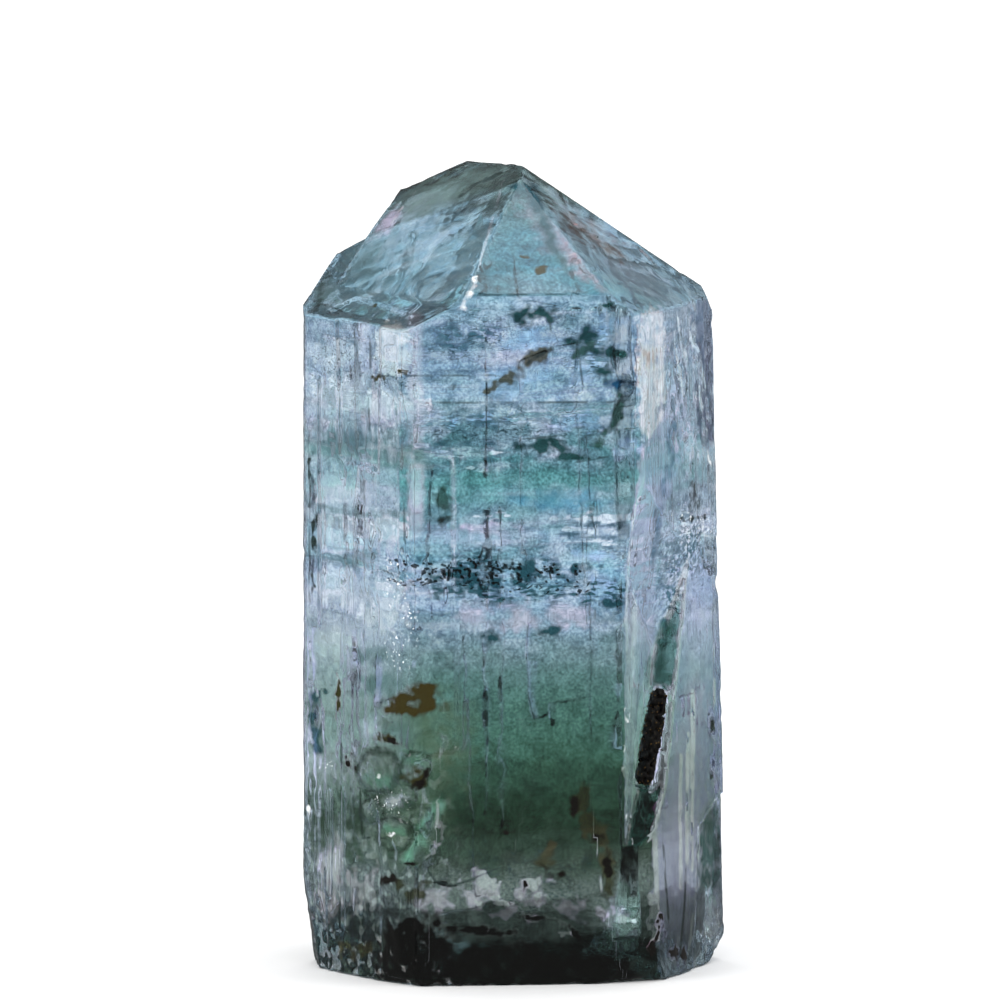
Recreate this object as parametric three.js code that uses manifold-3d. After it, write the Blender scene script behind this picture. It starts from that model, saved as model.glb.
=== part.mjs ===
// A single blue-green apatite crystal, as a standalone three.js model.
//
// Millimetres, +Z up along the crystal's c axis. The crystal stands on its broken-off foot, with the origin
// in the middle of its footprint. The widest of its prism faces looks along -Y.
//
// Two bodies grown in parallel make the crystal: an outer one that stops low at the back left, and an inner
// one that carries the tip. Each is a six-sided prism under a pyramid, cut out of a block one face at a
// time. They are joined in one solid, and growth steps, striations, scooped chips, a deep channel down the
// front right edge and the broken foot are cut into it. A grain of a dark mineral sits in the channel.

import * as THREE from "three";
import { mergeVertices } from "three/addons/utils/BufferGeometryUtils.js";
import Module from "manifold-3d";

const wasm = await Module();
wasm.setup();

// ---------------------------------------------------------------- driving dimensions

const HEIGHT = 19.9; // foot to tip
const HALFWAY = 10; // height at which the prism faces are as far out as reach says
const TAPER = 1.2; // degrees by which the right-hand faces spread towards the foot
const BLOCK = 4 * HEIGHT; // side of the blocks that faces are cut with
const CLEAR = 1; // how far a cutter for a growth step stands out of its face

// Azimuths of the prism faces and of the edges between them, in degrees anticlockwise from +X.
const FRONT = -90;
const FRONT_LEFT = -150;
const BACK_LEFT = 150;
const BACK = 90;
const BACK_RIGHT = 30;
const FRONT_RIGHT = -30;
const LEFT_EDGE = 180;
const RIGHT_EDGE = 0;
const FRONT_LEFT_EDGE = -120;
const FRONT_RIGHT_EDGE = -60;
const BACK_LEFT_EDGE = 120;
const BACK_RIGHT_EDGE = 60;

// Distance from the axis to each prism face.
const reach = {
  [FRONT]: 4.08,
  [FRONT_LEFT]: 4.66,
  [BACK_LEFT]: 4.58,
  [BACK]: 4.08,
  [BACK_RIGHT]: 4.36,
  [FRONT_RIGHT]: 4.6,
  [LEFT_EDGE]: 5.16,
  [RIGHT_EDGE]: 5.0,
  [FRONT_LEFT_EDGE]: 4.92,
  [FRONT_RIGHT_EDGE]: 4.9,
  [BACK_LEFT_EDGE]: 4.9,
  [BACK_RIGHT_EDGE]: 4.85,
};

// ---------------------------------------------------------------- solids

const radians = THREE.MathUtils.degToRad;
const vector = (x, y, z) => new THREE.Vector3(x, y, z);
const vector2 = (x, y) => new THREE.Vector2(x, y);

function solidOf(geometry) {
  const bare = geometry.index ? geometry.toNonIndexed() : geometry.clone();
  bare.deleteAttribute("normal");
  bare.deleteAttribute("uv");
  const merged = mergeVertices(bare, 1e-5);
  return new wasm.Manifold(
    new wasm.Mesh({
      numProp: 3,
      vertProperties: new Float32Array(merged.attributes.position.array),
      triVerts: new Uint32Array(merged.index.array),
    }),
  );
}

function geometryOf(solid) {
  const mesh = solid.getMesh();
  const geometry = new THREE.BufferGeometry();
  geometry.setAttribute("position", new THREE.BufferAttribute(mesh.vertProperties, 3));
  geometry.setIndex(new THREE.BufferAttribute(mesh.triVerts, 1));
  return geometry.toNonIndexed();
}

// A repeatable stream of numbers from 0 to 1.
function randomStream(seed) {
  let state = seed;
  return () => {
    state = (Math.imul(state, 1664525) + 1013904223) >>> 0;
    return state / 2 ** 32;
  };
}

// Everything on the outward side of a plane, as a block large enough for this crystal.
function beyond(outward, point) {
  const block = new THREE.BoxGeometry(BLOCK, BLOCK, BLOCK);
  block.translate(0, 0, BLOCK / 2);
  block.applyQuaternion(new THREE.Quaternion().setFromUnitVectors(vector(0, 0, 1), outward));
  block.translate(point.x, point.y, point.z);
  return solidOf(block);
}

// A face's own frame: x across it to the right as seen from outside, y up it, z out of it.
function planeFrame(outward, point) {
  const right = vector(0, 0, 1).cross(outward).normalize();
  const up = outward.clone().cross(right);
  return new THREE.Matrix4().makeBasis(right, up, outward).setPosition(point);
}

// ---------------------------------------------------------------- faces

// An upright face. It spreads by overhang degrees towards the foot, about its half-way height.
function prismFace({ azimuth, distance = reach[azimuth], overhang = 0 }) {
  const turn = radians(azimuth);
  const lean = radians(overhang);
  const outward = vector(Math.cos(lean) * Math.cos(turn), Math.cos(lean) * Math.sin(turn), Math.sin(lean));
  const foot = distance + HALFWAY * Math.tan(lean);
  return {
    outward,
    point: vector(distance * Math.cos(turn), distance * Math.sin(turn), HALFWAY),
    frame: planeFrame(outward, vector(foot * Math.cos(turn), foot * Math.sin(turn), 0)),
  };
}

// A sloping face, by the tangent of its slope and the height at which it rises from its prism face.
function pyramidFace({ azimuth, slope, rise, distance = reach[azimuth] }) {
  const turn = radians(azimuth);
  const outward = vector(slope * Math.cos(turn), slope * Math.sin(turn), 1).normalize();
  const point = vector(distance * Math.cos(turn), distance * Math.sin(turn), rise);
  return { outward, point, frame: planeFrame(outward, point) };
}

const prism = {
  front: prismFace({ azimuth: FRONT }),
  frontLeft: prismFace({ azimuth: FRONT_LEFT }),
  backLeft: prismFace({ azimuth: BACK_LEFT }),
  back: prismFace({ azimuth: BACK }),
  backRight: prismFace({ azimuth: BACK_RIGHT, overhang: TAPER }),
  frontRight: prismFace({ azimuth: FRONT_RIGHT, overhang: TAPER }),
};

// Narrow second-order faces take the corners off the prism's edges.
const edgeFlats = [
  prismFace({ azimuth: FRONT_LEFT_EDGE }),
  prismFace({ azimuth: FRONT_RIGHT_EDGE, overhang: TAPER / 3 }),
  prismFace({ azimuth: LEFT_EDGE }),
  prismFace({ azimuth: BACK_LEFT_EDGE }),
  prismFace({ azimuth: BACK_RIGHT_EDGE, overhang: TAPER / 2 }),
];

// The tops of both bodies on the front and right.
const sharedTops = {
  front: pyramidFace({ azimuth: FRONT, slope: 0.84, rise: 17.01 }),
  frontSteep: pyramidFace({ azimuth: FRONT, slope: 2.6, rise: 16.79 }),
  frontRight: pyramidFace({ azimuth: FRONT_RIGHT, slope: 0.79, rise: 16.49 }),
  backRight: pyramidFace({ azimuth: BACK_RIGHT, slope: 0.79, rise: 16.61 }),
  rightShoulder: pyramidFace({ azimuth: RIGHT_EDGE, slope: 2.4, rise: 16.25 }),
};

// The inner body's own tops, the outer body's own tops, and the riser where the inner one stands clear.
const innerTops = {
  frontLeft: pyramidFace({ azimuth: FRONT_LEFT, slope: 0.85, rise: 15.99 }),
  leftCrest: pyramidFace({ azimuth: -160, slope: 0.635, rise: 16.79, distance: reach[FRONT_LEFT] }),
  back: pyramidFace({ azimuth: 95, slope: 0.85, rise: 18.26, distance: reach[BACK] }),
  backSteep: pyramidFace({ azimuth: BACK, slope: 1.7, rise: 17.3 }),
};
const outerTops = {
  frontLeft: pyramidFace({ azimuth: FRONT_LEFT, slope: 0.6, rise: 16.25 }),
  backLeft: pyramidFace({ azimuth: BACK_LEFT, slope: 0.6, rise: 17.48 }),
  back: pyramidFace({ azimuth: BACK, slope: 0.85, rise: 16.9 }),
};
const innerRisers = [
  prismFace({ azimuth: BACK_LEFT, distance: 3.85 }),
  prismFace({ azimuth: 141, distance: 3.9 }),
  pyramidFace({ azimuth: 163, slope: 2.1, rise: 18.2, distance: 3.6 }),
];

function grownBody(sides, tops) {
  const block = new THREE.BoxGeometry(HEIGHT, HEIGHT, BLOCK);
  block.translate(0, 0, BLOCK / 2);
  let body = solidOf(block);
  for (const face of [...sides, ...tops]) {
    body = body.subtract(beyond(face.outward, face.point));
  }
  return body;
}

function grownCrystal() {
  const sides = [...Object.values(prism), ...edgeFlats];
  const shared = Object.values(sharedTops);
  const outer = grownBody(sides, [...shared, ...Object.values(outerTops)]);
  const inner = grownBody([...sides, ...innerRisers], [...shared, ...Object.values(innerTops)]);
  return outer.add(inner);
}

// ---------------------------------------------------------------- growth steps

// A field of a face that grew less far out: its outline, in the face's own frame, and how deep it lies.
function sunkField({ face, depth, outline }) {
  const shape = new THREE.Shape(outline.map(([x, y]) => vector2(x, y)));
  const field = new THREE.ExtrudeGeometry(shape, { depth: CLEAR, bevelEnabled: false });
  field.translate(0, 0, -depth);
  return solidOf(field.applyMatrix4(face.frame));
}

const growthSteps = [
  // front left: one field under the pyramid, and two long ones down to the foot
  { face: prism.frontLeft, depth: 0.07, outline: [[-0.75, 12.9], [0.85, 12.7], [0.9, 17], [-0.9, 17]] },
  {
    face: prism.frontLeft,
    depth: 0.05,
    outline: [[-2.6, 0], [-1.35, 0], [-1.5, 6.2], [-1.9, 7.1], [-2.6, 7]],
  },
  { face: prism.frontLeft, depth: 0.03, outline: [[0.1, 0], [0.95, 0], [0.8, 5.4], [0.2, 4.7]] },
  // front: a broad low field beside the left edge, and a ledge across the top
  { face: prism.front, depth: 0.03, outline: [[-2.95, 5.6], [-1.7, 5.9], [-1.85, 13.2], [-2.95, 13.5]] },
  { face: prism.front, depth: 0.04, outline: [[-0.4, 14.1], [2.9, 14.4], [2.9, 14.95], [-0.1, 14.6]] },
  // front right: a sunk field at the bottom right with a bright near edge
  {
    face: prism.frontRight,
    depth: 0.09,
    outline: [[0.42, 0], [3, 0], [3, 4.4], [2.3, 4.1], [0.95, 3.5], [0.88, 2.5]],
  },
  // the hidden sides
  { face: prism.backRight, depth: 0.06, outline: [[-1.3, 3.1], [0.4, 2.7], [0.7, 11.8], [-0.9, 12.5]] },
  { face: prism.backRight, depth: 0.04, outline: [[1.2, 0], [3, 0], [3, 9.2], [1.5, 8.6]] },
  { face: prism.back, depth: 0.07, outline: [[-2, 6.5], [-0.6, 6.1], [-0.3, 14.9], [-1.7, 15.4]] },
  { face: prism.back, depth: 0.04, outline: [[0.8, 1.2], [2.1, 0.9], [2.3, 8.1], [1.1, 8.8]] },
  { face: prism.backLeft, depth: 0.06, outline: [[-0.9, 0], [0.6, 0], [0.3, 10.2], [-0.6, 10.9]] },
  { face: prism.backLeft, depth: 0.05, outline: [[1.2, 8.5], [3, 8.3], [3, 16.3], [1.5, 15.6]] },
  // low steps across the pyramid
  { face: outerTops.frontLeft, depth: 0.04, outline: [[-1.5, 0.3], [1.3, 0.25], [1.2, 0.7], [-1.2, 0.95]] },
  { face: sharedTops.frontRight, depth: 0.05, outline: [[-0.6, 2.1], [1.2, 1.5], [1.35, 2.2], [-0.3, 2.9]] },
  { face: sharedTops.backRight, depth: 0.05, outline: [[-1.1, 0.9], [0.7, 0.8], [0.4, 2.6], [-0.5, 3.1]] },
  { face: innerTops.backSteep, depth: 0.06, outline: [[-1.2, 0.4], [0.8, 0.5], [0.6, 1.5], [-0.9, 1.3]] },
];

// A fine furrow along a face's height, cut with a three-sided bar of which one edge points inwards.
function furrow({ face, across, from, to, width, lean = 0 }) {
  const bar = new THREE.CylinderGeometry(width, width, to - from, 3);
  bar.rotateY(Math.PI);
  bar.translate(0, 0, width / 4);
  bar.rotateZ(radians(lean));
  bar.translate(across, (from + to) / 2, 0);
  return solidOf(bar.applyMatrix4(face.frame));
}

// A family of furrows between two distances across a face, of uneven width and length.
function striations({ face, count, left, right, bottom, top, width, lean }, seed) {
  const random = randomStream(seed + 1);
  const family = [];
  for (let i = 0; i < count; i += 1) {
    const across = THREE.MathUtils.lerp(left, right, (i + 0.2 + 0.6 * random()) / count);
    const span = top - bottom;
    const from = bottom + 0.3 * span * random();
    const to = top - 0.35 * span * random();
    family.push(furrow({ face, across, from, to, width: width * (0.6 + 0.8 * random()), lean }));
  }
  return family;
}

const striatedFields = [
  { face: prism.frontRight, count: 9, left: -0.35, right: 0.75, bottom: 12.2, top: 16, width: 0.05, lean: 4 },
  { face: prism.frontRight, count: 6, left: 0.85, right: 1.9, bottom: 11.6, top: 16.2, width: 0.04 },
  { face: prism.frontRight, count: 3, left: -0.3, right: 0.9, bottom: 1.2, top: 7.2, width: 0.03, lean: -3 },
  { face: prism.frontLeft, count: 6, left: -1.9, right: -0.2, bottom: 0.6, top: 5.6, width: 0.05 },
  { face: prism.frontLeft, count: 4, left: -1.9, right: 1.2, bottom: 6.5, top: 15.5, width: 0.03 },
  { face: prism.backRight, count: 9, left: -2, right: 2, bottom: 2, top: 15.5, width: 0.04 },
  { face: prism.back, count: 9, left: -2.2, right: 2.2, bottom: 1.5, top: 16, width: 0.05 },
  { face: prism.backLeft, count: 9, left: -2, right: 2, bottom: 1.2, top: 15.8, width: 0.04 },
];

// ---------------------------------------------------------------- the channel on the front right edge

// Its riser runs parallel to the front right face and its floor to the front face. The floor comes up
// towards the foot, first gently and then steeply, and the hood closes the channel at the top.
const channel = {
  riserAzimuth: -27,
  riserStart: vector(2.45, -reach[FRONT], 0),
  floorLean: 15.2,
  floorStart: vector(0, -reach[FRONT], 1.8),
  sillLean: 31,
  sillStart: vector(0, -reach[FRONT], 3.45),
  hoodOutward: vector(0.769, -0.618, -0.164),
  hoodTop: vector(2.88, -reach[FRONT], 12.39),
};

function leaningFront(lean) {
  return vector(0, -Math.cos(radians(lean)), Math.sin(radians(lean)));
}

function channelCutter() {
  const riserTurn = radians(channel.riserAzimuth);
  const riser = beyond(vector(Math.cos(riserTurn), Math.sin(riserTurn), 0), channel.riserStart);
  const floor = beyond(leaningFront(channel.floorLean), channel.floorStart);
  const sill = beyond(leaningFront(channel.sillLean), channel.sillStart);
  const hood = beyond(channel.hoodOutward.clone().normalize(), channel.hoodTop);
  return riser.intersect(floor).intersect(sill).intersect(hood);
}

// ---------------------------------------------------------------- the dark grain in the channel

// A stubby rod with uneven sides and blunt ends, along the corner between riser and floor. The crystal
// grew round its inner side, so it lies in a socket that is larger than it by the clearance all round.
const grain = {
  low: vector(2.97, -3.3, 4.84),
  high: vector(3.43, -2.76, 7.16),
  width: 0.58,
  bluntEnd: 0.16,
  sides: 7,
  sideSpread: 0.2,
  clearance: 0.05,
  seed: 12,
};

// The rod's outline, as radius against height from its middle, swollen by the given amount.
function grainOutline(swell) {
  const radius = grain.width / 2;
  const end = grain.low.distanceTo(grain.high) / 2 + swell;
  return [
    vector2(0, -end),
    vector2(0.55 * radius + swell, -end),
    vector2(0.92 * radius + swell, grain.bluntEnd - end),
    vector2(radius + swell, -0.2 * end),
    vector2(0.96 * radius + swell, 0.5 * end),
    vector2(0.8 * radius + swell, end - grain.bluntEnd),
    vector2(0.45 * radius + swell, end),
    vector2(0, end),
  ];
}

function grainGeometry(swell) {
  const random = randomStream(grain.seed);
  const sideScales = Array.from(
    { length: grain.sides }, () => 1 + grain.sideSpread * (random() - 0.5));
  const rod = new THREE.LatheGeometry(grainOutline(swell), grain.sides);
  const position = rod.attributes.position;
  for (let i = 0; i < position.count; i += 1) {
    const turn = Math.atan2(position.getZ(i), position.getX(i)) / (2 * Math.PI) + 1;
    const scale = sideScales[Math.round(turn * grain.sides) % grain.sides];
    position.setX(i, position.getX(i) * scale);
    position.setZ(i, position.getZ(i) * scale);
  }
  const along = grain.high.clone().sub(grain.low).normalize();
  rod.applyQuaternion(new THREE.Quaternion().setFromUnitVectors(vector(0, 1, 0), along));
  const middle = grain.low.clone().lerp(grain.high, 0.5);
  rod.translate(middle.x, middle.y, middle.z);
  return rod;
}

// ---------------------------------------------------------------- chips, pits and the foot

// A scoop with shell-like facets, as breakage leaves in glass.
function scoop({ at, size, stretch = [1, 1, 1], turn = 0 }) {
  const ball = new THREE.IcosahedronGeometry(size, 1);
  ball.scale(...stretch);
  ball.rotateZ(radians(turn));
  ball.translate(...at);
  return solidOf(ball);
}

// The same, placed on a face: across and up are in its frame, and depth is how far the scoop reaches in.
function facePit({ face, across, up, size, depth, stretch = 1 }) {
  const ball = new THREE.IcosahedronGeometry(size, 1);
  ball.scale(1, stretch, 1);
  ball.translate(across, up, size - depth);
  return solidOf(ball.applyMatrix4(face.frame));
}

const chips = [
  { at: [3.95, -0.45, 17.72], size: 0.3, stretch: [1.5, 1, 1] },
  { at: [-2.62, -4.32, 10.4], size: 0.3, stretch: [0.8, 1, 3.2], turn: 30 },
  { at: [-2.72, -4.36, 8.9], size: 0.3, stretch: [0.8, 1, 2.1], turn: 30 },
  { at: [2.52, -4.26, 6.6], size: 0.22, stretch: [0.9, 1, 2.2] },
  { at: [2.56, -4.28, 5.5], size: 0.24, stretch: [0.8, 1, 2.6] },
  { at: [2.5, -4.25, 8.7], size: 0.2, stretch: [0.8, 1, 3] },
  { at: [-5.42, -0.35, 11.5], size: 0.36, stretch: [0.8, 1, 5] },
  { at: [-5.4, -0.4, 6.4], size: 0.4, stretch: [0.8, 1, 2.2] },
  { at: [5.36, -0.3, 10.6], size: 0.3, stretch: [0.8, 1, 1.8] },
  { at: [-2.9, 4.3, 7.2], size: 0.55, stretch: [1, 0.8, 1.8], turn: 20 },
  { at: [-2.75, 4.25, 13.1], size: 0.4, stretch: [1, 0.8, 1.3] },
  { at: [2.6, 4.35, 9.8], size: 0.5, stretch: [1, 0.8, 2.2], turn: -20 },
  { at: [2.9, -4.2, 16.75], size: 0.22 },
  { at: [-4.2, 1.9, 17.75], size: 0.3 },
];

const pits = [
  { face: prism.frontRight, across: 1.71, up: 6.03, size: 0.22, depth: 0.08, stretch: 2.2 },
  { face: prism.frontRight, across: 1.79, up: 4.93, size: 0.2, depth: 0.06, stretch: 1.7 },
  { face: prism.frontLeft, across: 1.1, up: 4.75, size: 0.62, depth: 0.1 },
  { face: prism.frontLeft, across: 0.35, up: 4.4, size: 0.5, depth: 0.09 },
  { face: prism.frontLeft, across: 1.5, up: 3.4, size: 0.75, depth: 0.11 },
  { face: prism.frontLeft, across: -0.2, up: 3.0, size: 0.6, depth: 0.08 },
  { face: prism.frontLeft, across: -1.75, up: 6.3, size: 0.7, depth: 0.12, stretch: 1.4 },
  { face: prism.front, across: -2.3, up: 4.2, size: 0.6, depth: 0.08, stretch: 1.3 },
  { face: prism.front, across: -0.9, up: 2.1, size: 0.7, depth: 0.08, stretch: 0.8 },
  { face: sharedTops.frontRight, across: -0.4, up: 3.3, size: 0.45, depth: 0.06 },
  { face: innerTops.frontLeft, across: 0.9, up: 3.2, size: 0.6, depth: 0.04, stretch: 1.4 },
  { face: prism.back, across: 0.3, up: 11.6, size: 0.7, depth: 0.1, stretch: 1.3 },
  { face: prism.backLeft, across: -1.4, up: 5.2, size: 0.8, depth: 0.12 },
  { face: prism.backRight, across: 0.9, up: 6.1, size: 0.7, depth: 0.11, stretch: 1.5 },
];

// Undercut facets round the broken foot: each leans in by undercut degrees as it comes down, and meets the
// resting plane at the given distance from the axis.
function footFacet({ azimuth, distance, undercut }) {
  const turn = radians(azimuth);
  const lean = radians(undercut);
  const outward = vector(Math.cos(lean) * Math.cos(turn), Math.cos(lean) * Math.sin(turn), -Math.sin(lean));
  return beyond(outward, vector(distance * Math.cos(turn), distance * Math.sin(turn), 0));
}

const footFacets = [
  { azimuth: LEFT_EDGE, distance: 4.85, undercut: 8 },
  { azimuth: RIGHT_EDGE, distance: 4.85, undercut: 38 },
  { azimuth: -138, distance: 4.68, undercut: 20 },
  { azimuth: -72, distance: 4.42, undercut: 28 },
  { azimuth: 110, distance: 3.9, undercut: 40 },
  { azimuth: 48, distance: 4.35, undercut: 16 },
];

// ---------------------------------------------------------------- assembly

function finishedCrystal() {
  const cutters = [
    channelCutter(),
    solidOf(grainGeometry(grain.clearance)),
    ...growthSteps.map(sunkField),
    ...striatedFields.flatMap((field, index) => striations(field, index)),
    ...chips.map(scoop),
    ...pits.map(facePit),
    ...footFacets.map(footFacet),
  ];
  let crystal = grownCrystal();
  for (const cutter of cutters) {
    crystal = crystal.subtract(cutter);
  }
  return crystal;
}

function piece(name, geometry, color, roughness) {
  const mesh = new THREE.Mesh(geometry, new THREE.MeshStandardMaterial({ color, roughness }));
  mesh.name = name;
  return mesh;
}

const group = new THREE.Group();
group.add(piece("apatite_crystal", geometryOf(finishedCrystal()), 0x7d9fae, 0.2));
group.add(piece("dark_mineral_grain", grainGeometry(0), 0x14120d, 0.6));

// The foot's middle goes to the origin.
const middle = new THREE.Box3().setFromObject(group).getCenter(vector(0, 0, 0));
group.position.set(-middle.x, -middle.y, 0);

export default group;
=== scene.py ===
import math

import bmesh
import bpy
import numpy as np
from mathutils import Euler, Matrix, Vector, noise
from mathutils.kdtree import KDTree


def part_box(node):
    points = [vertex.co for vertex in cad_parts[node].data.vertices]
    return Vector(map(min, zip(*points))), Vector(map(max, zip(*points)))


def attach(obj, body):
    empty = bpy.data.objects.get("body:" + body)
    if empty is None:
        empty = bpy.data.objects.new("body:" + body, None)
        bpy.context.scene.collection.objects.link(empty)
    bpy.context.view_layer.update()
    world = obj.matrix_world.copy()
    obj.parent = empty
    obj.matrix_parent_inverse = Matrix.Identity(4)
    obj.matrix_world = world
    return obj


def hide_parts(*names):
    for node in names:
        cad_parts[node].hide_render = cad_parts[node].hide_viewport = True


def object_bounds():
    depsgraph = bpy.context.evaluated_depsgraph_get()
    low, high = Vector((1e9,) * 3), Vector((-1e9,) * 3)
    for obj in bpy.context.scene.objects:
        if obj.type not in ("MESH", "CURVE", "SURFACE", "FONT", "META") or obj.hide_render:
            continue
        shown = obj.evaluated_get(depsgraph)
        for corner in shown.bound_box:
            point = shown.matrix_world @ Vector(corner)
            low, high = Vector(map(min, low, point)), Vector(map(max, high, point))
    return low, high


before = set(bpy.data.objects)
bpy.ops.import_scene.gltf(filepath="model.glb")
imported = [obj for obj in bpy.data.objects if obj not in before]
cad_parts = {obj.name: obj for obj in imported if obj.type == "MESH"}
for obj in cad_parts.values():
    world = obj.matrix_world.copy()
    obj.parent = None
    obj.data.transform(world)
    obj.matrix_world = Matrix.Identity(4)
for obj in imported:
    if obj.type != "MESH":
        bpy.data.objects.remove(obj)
solid_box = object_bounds()

# ---------------------------------------------------------------- the crystal
# A blue-green apatite prism about 20 mm tall, clear to milky, that grew in two stages as one piece. Its
# faces are natural growth faces with striations, steps and etch pits, and its foot is a rough break.

MM = 0.001
FINE_CELL_SHARE = 0.84  # how much of the remesher's grid the crystal fills
EDGE_ANGLE = math.radians(20)  # folds sharper than this are crystal edges
EDGE_BAND = 0.3  # mm beside an edge that its wear and its painted highlight reach


def joined_copy(name):
    """A copy of a CAD node's mesh in millimetres, with its loose triangles joined."""
    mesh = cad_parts[name].data.copy()
    mesh.transform(Matrix.Scale(1 / MM, 4))
    shape = bmesh.new()
    shape.from_mesh(mesh)
    bmesh.ops.remove_doubles(shape, verts=shape.verts, dist=0.0005)
    shape.to_mesh(mesh)
    shape.free()
    mesh.materials.clear()
    return mesh


def made_plain(name, piece):
    """The evaluated mesh of a piece under a new name, with the modifiers and the piece itself used up."""
    finished = piece.evaluated_get(bpy.context.evaluated_depsgraph_get())
    mesh = bpy.data.meshes.new_from_object(finished)
    bpy.data.objects.remove(piece)
    made = bpy.data.objects.new(name, mesh)
    bpy.context.scene.collection.objects.link(made)
    return made


def evenly_meshed(name, mesh, depth, share):
    """The same shape as an even fine mesh that keeps its edges."""
    rough = bpy.data.objects.new(name + "_rough", mesh)
    bpy.context.scene.collection.objects.link(rough)
    remesh = rough.modifiers.new("even_mesh", "REMESH")
    remesh.mode = "SHARP"
    remesh.octree_depth = depth
    remesh.scale = share
    remesh.use_remove_disconnected = False
    remesh.use_smooth_shade = True
    return made_plain(name, rough)


def points_of(mesh):
    points = np.empty(len(mesh.vertices) * 3)
    mesh.vertices.foreach_get("co", points)
    return points.reshape(-1, 3)


def normals_of(mesh):
    normals = np.empty(len(mesh.vertices) * 3)
    mesh.vertex_normals.foreach_get("vector", normals)
    return normals.reshape(-1, 3)


def rough_field(points, grain, seed, octaves=3):
    """Cloudy noise of about -1 to 1 at each point. grain is its size in mm in each direction."""
    placed = points / np.array(grain) + 31.7 * seed
    return np.array([noise.fractal(Vector(p), 1.0, 2.0, octaves) for p in placed])


def ramp(values, low, high):
    """0 below low, 1 above high, and smooth between."""
    t = np.clip((values - low) / (high - low), 0, 1)
    return t * t * (3 - 2 * t)


def edge_closeness(mesh, points):
    """1 on the crystal's edges, falling to 0 at EDGE_BAND from them."""
    shape = bmesh.new()
    shape.from_mesh(mesh)
    folds = [e for e in shape.edges if len(e.link_faces) == 2 and e.calc_face_angle(0) > EDGE_ANGLE]
    stops = []
    for fold in folds:
        start, end = (v.co for v in fold.verts)
        steps = max(1, math.ceil((end - start).length / 0.06))
        stops += [start.lerp(end, i / steps) for i in range(steps + 1)]
    shape.free()
    tree = KDTree(len(stops))
    for i, stop in enumerate(stops):
        tree.insert(stop, i)
    tree.balance()
    distances = np.array([tree.find(p)[2] for p in points])
    return 1 - np.clip(distances / EDGE_BAND, 0, 1)


coarse = joined_copy("apatite_crystal")
crystal = evenly_meshed("apatite_crystal_body", coarse.copy(), 8, FINE_CELL_SHARE)
points = points_of(crystal.data)
outward = normals_of(crystal.data)
x, y, z = points.T
edge = edge_closeness(coarse, points)

# Which growth face each point lies on, so that relief and colour can follow the faces.
top = ramp(outward[:, 2], 0.3, 0.45) * ramp(z, 15.2, 15.6)
left = ramp(-outward[:, 0], 0.5, 0.75)
right = ramp(outward[:, 0], 0.5, 0.75)
in_channel = ramp(x, 2.35, 2.5) * (1 - ramp(x, 4.4, 4.6)) * (1 - ramp(y, -2.1, -1.8))
in_channel *= 1 - ramp(z, 12.3, 12.9)
channel_floor = in_channel * ramp(outward[:, 2], 0.1, 0.2) * ramp(-outward[:, 1], 0.7, 0.85)
RISER_TURN = math.radians(27)
RISER_X, RISER_Y = 2.45, -4.08
behind_riser = math.cos(RISER_TURN) * (x - RISER_X) - math.sin(RISER_TURN) * (y - RISER_Y)
riser = in_channel * right * (1 - ramp(behind_riser, 0.05, 0.12))
prism = 1 - top

# Marks are placed on the drawing of the front: across and up in mm, with the crystal turned by 5.6 degrees
# and leaned by 7.5 degrees from its own axes. They reach the near side only.
TURN, LEAN = math.radians(5.6), math.radians(7.5)
across = x * math.cos(TURN) - y * math.sin(TURN)
deep = x * math.sin(TURN) + y * math.cos(TURN)
up = z * math.cos(LEAN) + deep * math.sin(LEAN)
facing = outward @ (-math.sin(TURN) * math.cos(LEAN), -math.cos(TURN) * math.cos(LEAN), math.sin(LEAN))
far_side = 1 - ramp(facing, 0.0, 0.15)
# Natural marks have no even outline, so most of them lie on a drawing that is bent a little.
bent_across = across + 0.1 * rough_field(points, (0.45,) * 3, 11)
bent_across += 0.05 * rough_field(points, (0.14,) * 3, 12, 2)
bent_up = up + 0.09 * rough_field(points, (0.45,) * 3, 13)
bent_up += 0.05 * rough_field(points, (0.14,) * 3, 14, 2)
NOWHERE = 4.0  # further than any mark reaches


def ovals(*marks):
    """How far each point is from the nearest oval: 0 at its middle, 1 on its rim. An oval is its middle
    (across, up), its half width and half height in mm, and its turn in degrees if it has one."""
    nearest = np.full(len(points), NOWHERE)
    for middle, level, half_wide, half_high, *turn in marks:
        c, s = math.cos(math.radians(sum(turn))), math.sin(math.radians(sum(turn)))
        da, du = bent_across - middle, bent_up - level
        nearest = np.minimum(nearest, np.hypot((da * c + du * s) / half_wide, (du * c - da * s) / half_high))
    return nearest + NOWHERE * far_side


def strokes(*paths, bent=True):
    """How far each point is from the nearest band, as for ovals. A path lists (across, up, half width)."""
    a, u = (bent_across, bent_up) if bent else (across, up)
    nearest = np.full(len(points), NOWHERE)
    for path in paths:
        for (a0, u0, w0), (a1, u1, w1) in zip(path, path[1:]):
            share = ((a - a0) * (a1 - a0) + (u - u0) * (u1 - u0)) / ((a1 - a0) ** 2 + (u1 - u0) ** 2)
            share = np.clip(share, 0, 1)
            distance = np.hypot(a - a0 - share * (a1 - a0), u - u0 - share * (u1 - u0))
            nearest = np.minimum(nearest, distance / (w0 + share * (w1 - w0)))
    return nearest + NOWHERE * far_side


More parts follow.
